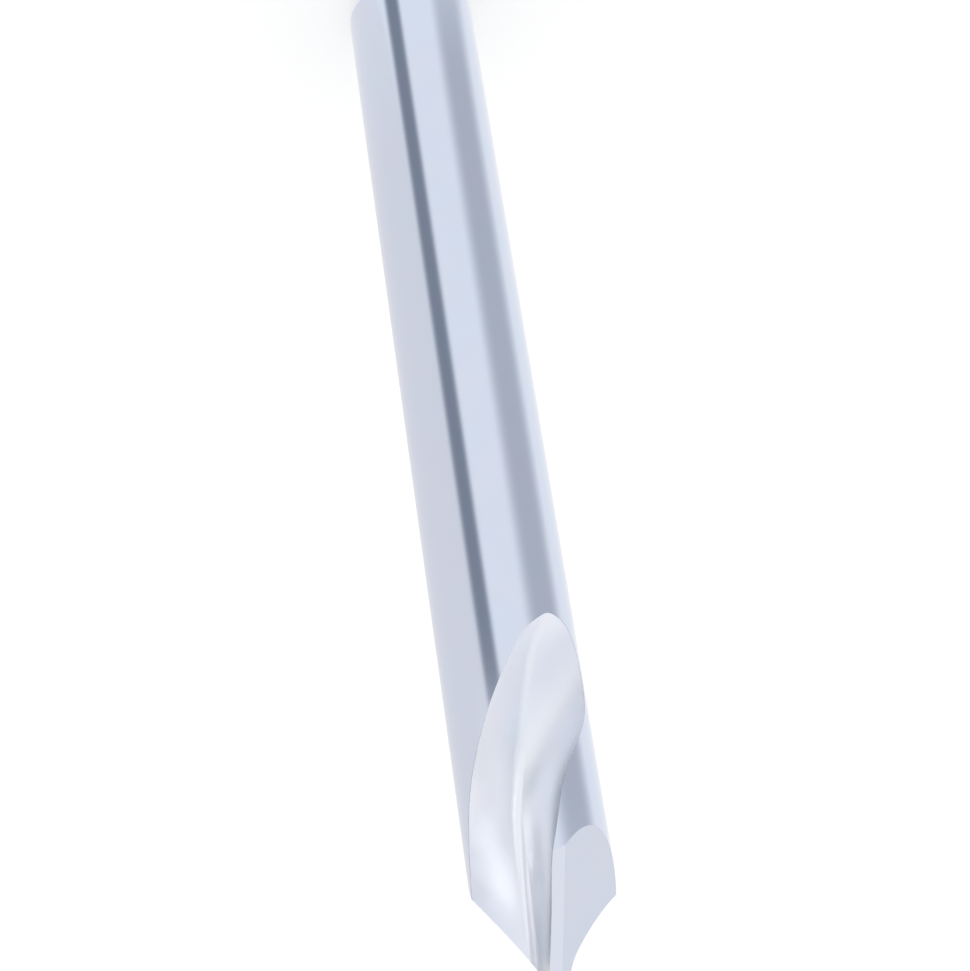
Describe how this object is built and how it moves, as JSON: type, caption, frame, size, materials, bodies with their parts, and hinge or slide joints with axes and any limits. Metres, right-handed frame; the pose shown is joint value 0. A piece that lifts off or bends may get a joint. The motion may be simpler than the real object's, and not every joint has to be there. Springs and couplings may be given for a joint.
{
  "type": "spotting drill",
  "caption": "Solid carbide spotting drill: a plain cylindrical shank, short right-hand helical flutes that run out of the rod, and a sharp relieved cone point.",
  "frame": {"origin": "centre of the flat shank end, on which the drill stands", "axes": "+Z along the drill's axis from the shank end to the point; +X the way one cutting lip runs out from the web"},
  "size_m": [0.006, 0.006, 0.054],
  "materials": {
    "ground_carbide": "fine ground, uncoated"
  },
  "bodies": {
    "root": {"spotting_drill": "ground_carbide"}
  },
  "joints": []
}
